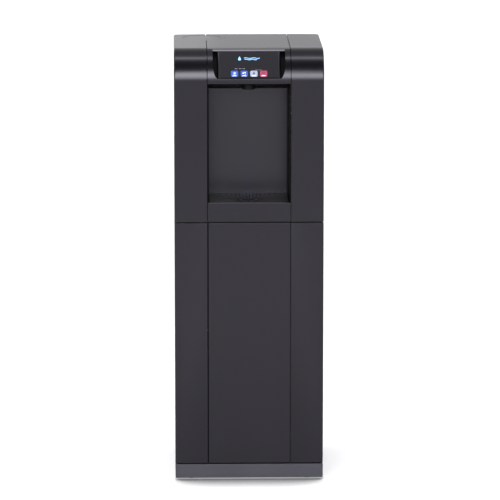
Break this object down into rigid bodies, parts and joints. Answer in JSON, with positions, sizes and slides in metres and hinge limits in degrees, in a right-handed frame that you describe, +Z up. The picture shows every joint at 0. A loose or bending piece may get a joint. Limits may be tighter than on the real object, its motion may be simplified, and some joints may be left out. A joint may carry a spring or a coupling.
{
  "type": "floor-standing water cooler",
  "caption": "Tall floor-standing, plumbed-in water cooler with a dispensing alcove, touch keys, a lift-out drip tray, a hinged service door, a filter and a refrigeration circuit.",
  "frame": {"origin": "on the floor, under the middle of the body", "axes": "+Z up, the front faces -Y, +X is to the right seen from the front"},
  "size_m": [0.38, 0.345, 1.113],
  "materials": {
    "casing": "satin",
    "plinth": "satin",
    "alcove": "semi-gloss",
    "tray": "satin",
    "blue_key": "gloss",
    "pale_key": "gloss",
    "red_key": "gloss",
    "circuit_board": "satin",
    "lens": "gloss",
    "sheet_steel": "satin",
    "bright_steel": "polished",
    "black_steel": "satin",
    "copper": "bright copper",
    "foot_rubber": "matte",
    "foam": "matte foam",
    "white_plastic": "satin",
    "tubing": "satin",
    "gas_cylinder": "satin",
    "black_plastic": "satin"
  },
  "bodies": {
    "cabinet": {"alcove_backsplash": "alcove", "alcove_ceiling": "alcove", "alcove_light": "lens", "alcove_shell": "alcove", "base_pan": "sheet_steel", "base_plinth": "plinth", "cap_collar": "casing", "co2_cylinder": "gas_cylinder", "cold_nozzle": "bright_steel", "cold_tank": "bright_steel", "cold_tank_insulation": "foam", "compressor": "black_steel", "condenser_coil": "black_steel", "condenser_wires": "black_steel", "control_board": "circuit_board", "control_pod": "casing", "control_recess": "black_plastic", "discharge_line": "copper", "door_lower_pin": "bright_steel", "door_upper_pin": "bright_steel", "evaporator_coil": "copper", "filter_dryer": "copper", "filter_head": "white_plastic", "front_bezel": "casing", "hot_nozzle": "bright_steel", "hot_tank": "bright_steel", "inlet_fitting": "white_plastic", "inner_frame": "sheet_steel", "lower_fascia": "casing", "lower_left_panel": "casing", "lower_right_panel": "casing", "mid_deck": "sheet_steel", "nozzle_shroud": "casing", "power_board_box": "white_plastic", "power_inlet": "black_plastic", "rear_panel": "black_steel", "suction_line": "copper", "supply_tube": "tubing", "switch_plate": "black_plastic", "top_cover": "casing", "tray_seat": "tray", "upper_left_panel": "casing", "upper_right_panel": "casing", "valve_block": "white_plastic"},
    "service_door": {"service_door": "casing"},
    "drip_tray": {"drip_tray": "tray"},
    "drip_grille": {"drip_grille": "tray"},
    "filter_cap": {"filter_cap": "casing"},
    "filter_cartridge": {"filter_cartridge": "white_plastic"},
    "co2_handwheel": {"co2_handwheel": "black_plastic"},
    "heater_switch": {"heater_switch": "black_plastic"},
    "cooler_switch": {"cooler_switch": "black_plastic"},
    "foot_front_left": {"foot_front_left": "foot_rubber"},
    "foot_front_right": {"foot_front_right": "foot_rubber"},
    "foot_rear_left": {"foot_rear_left": "foot_rubber"},
    "foot_rear_right": {"foot_rear_right": "foot_rubber"},
    "key_cold": {"key_cold": "blue_key"},
    "key_sparkling": {"key_sparkling": "blue_key"},
    "key_ambient": {"key_ambient": "pale_key"},
    "key_hot": {"key_hot": "red_key"}
  },
  "joints": [
    {"name": "key_cold_press", "type": "slide", "parent": "cabinet", "child": "key_cold", "axis": [0, 0.7431, -0.6691], "range_m": [0, 0.001], "stiffness_N_per_m": 600},
    {"name": "key_sparkling_press", "type": "slide", "parent": "cabinet", "child": "key_sparkling", "axis": [0, 0.7431, -0.6691], "range_m": [0, 0.001], "stiffness_N_per_m": 600},
    {"name": "key_ambient_press", "type": "slide", "parent": "cabinet", "child": "key_ambient", "axis": [0, 0.7431, -0.6691], "range_m": [0, 0.001], "stiffness_N_per_m": 600},
    {"name": "key_hot_press", "type": "slide", "parent": "cabinet", "child": "key_hot", "axis": [0, 0.7431, -0.6691], "range_m": [0, 0.001], "stiffness_N_per_m": 600},
    {"name": "tray_lift", "type": "slide", "parent": "cabinet", "child": "drip_tray", "axis": [0, 0, 1], "range_m": [0, 0.045]},
    {"name": "grille_lift", "type": "slide", "parent": "drip_tray", "child": "drip_grille", "axis": [0, 0, 1], "range_m": [0, 0.03]},
    {"name": "door_swing", "type": "hinge", "parent": "cabinet", "child": "service_door", "pos_m": [-0.1008, -0.168, 0.3593], "axis": [0, 0, -1], "range_deg": [0, 100]},
    {"name": "cap_lift", "type": "slide", "parent": "cabinet", "child": "filter_cap", "axis": [0, 0, 1], "range_m": [0, 0.04]},
    {"name": "cartridge_turn", "type": "hinge", "parent": "cabinet", "child": "filter_cartridge", "pos_m": [-0.117, 0.1005, 0.72], "axis": [0, 0, 1], "range_deg": [0, 90]},
    {"name": "handwheel_turn", "type": "hinge", "parent": "cabinet", "child": "co2_handwheel", "pos_m": [-0.134, -0.1, 0.41], "axis": [0, 0, 1], "range_deg": [0, 360]},
    {"name": "heater_switch_rock", "type": "hinge", "parent": "cabinet", "child": "heater_switch", "pos_m": [0.103, 0.1498, 0.15], "axis": [1, 0, 0], "range_deg": [0, 16]},
    {"name": "cooler_switch_rock", "type": "hinge", "parent": "cabinet", "child": "cooler_switch", "pos_m": [0.137, 0.1498, 0.15], "axis": [1, 0, 0], "range_deg": [0, 16]},
    {"name": "foot_front_left_turn", "type": "hinge", "parent": "cabinet", "child": "foot_front_left", "pos_m": [-0.15, -0.135, 0.01], "axis": [0, 0, 1], "continuous": true},
    {"name": "foot_front_right_turn", "type": "hinge", "parent": "cabinet", "child": "foot_front_right", "pos_m": [0.15, -0.135, 0.01], "axis": [0, 0, 1], "continuous": true},
    {"name": "foot_rear_left_turn", "type": "hinge", "parent": "cabinet", "child": "foot_rear_left", "pos_m": [-0.15, 0.135, 0.01], "axis": [0, 0, 1], "continuous": true},
    {"name": "foot_rear_right_turn", "type": "hinge", "parent": "cabinet", "child": "foot_rear_right", "pos_m": [0.15, 0.135, 0.01], "axis": [0, 0, 1], "continuous": true}
  ]
}
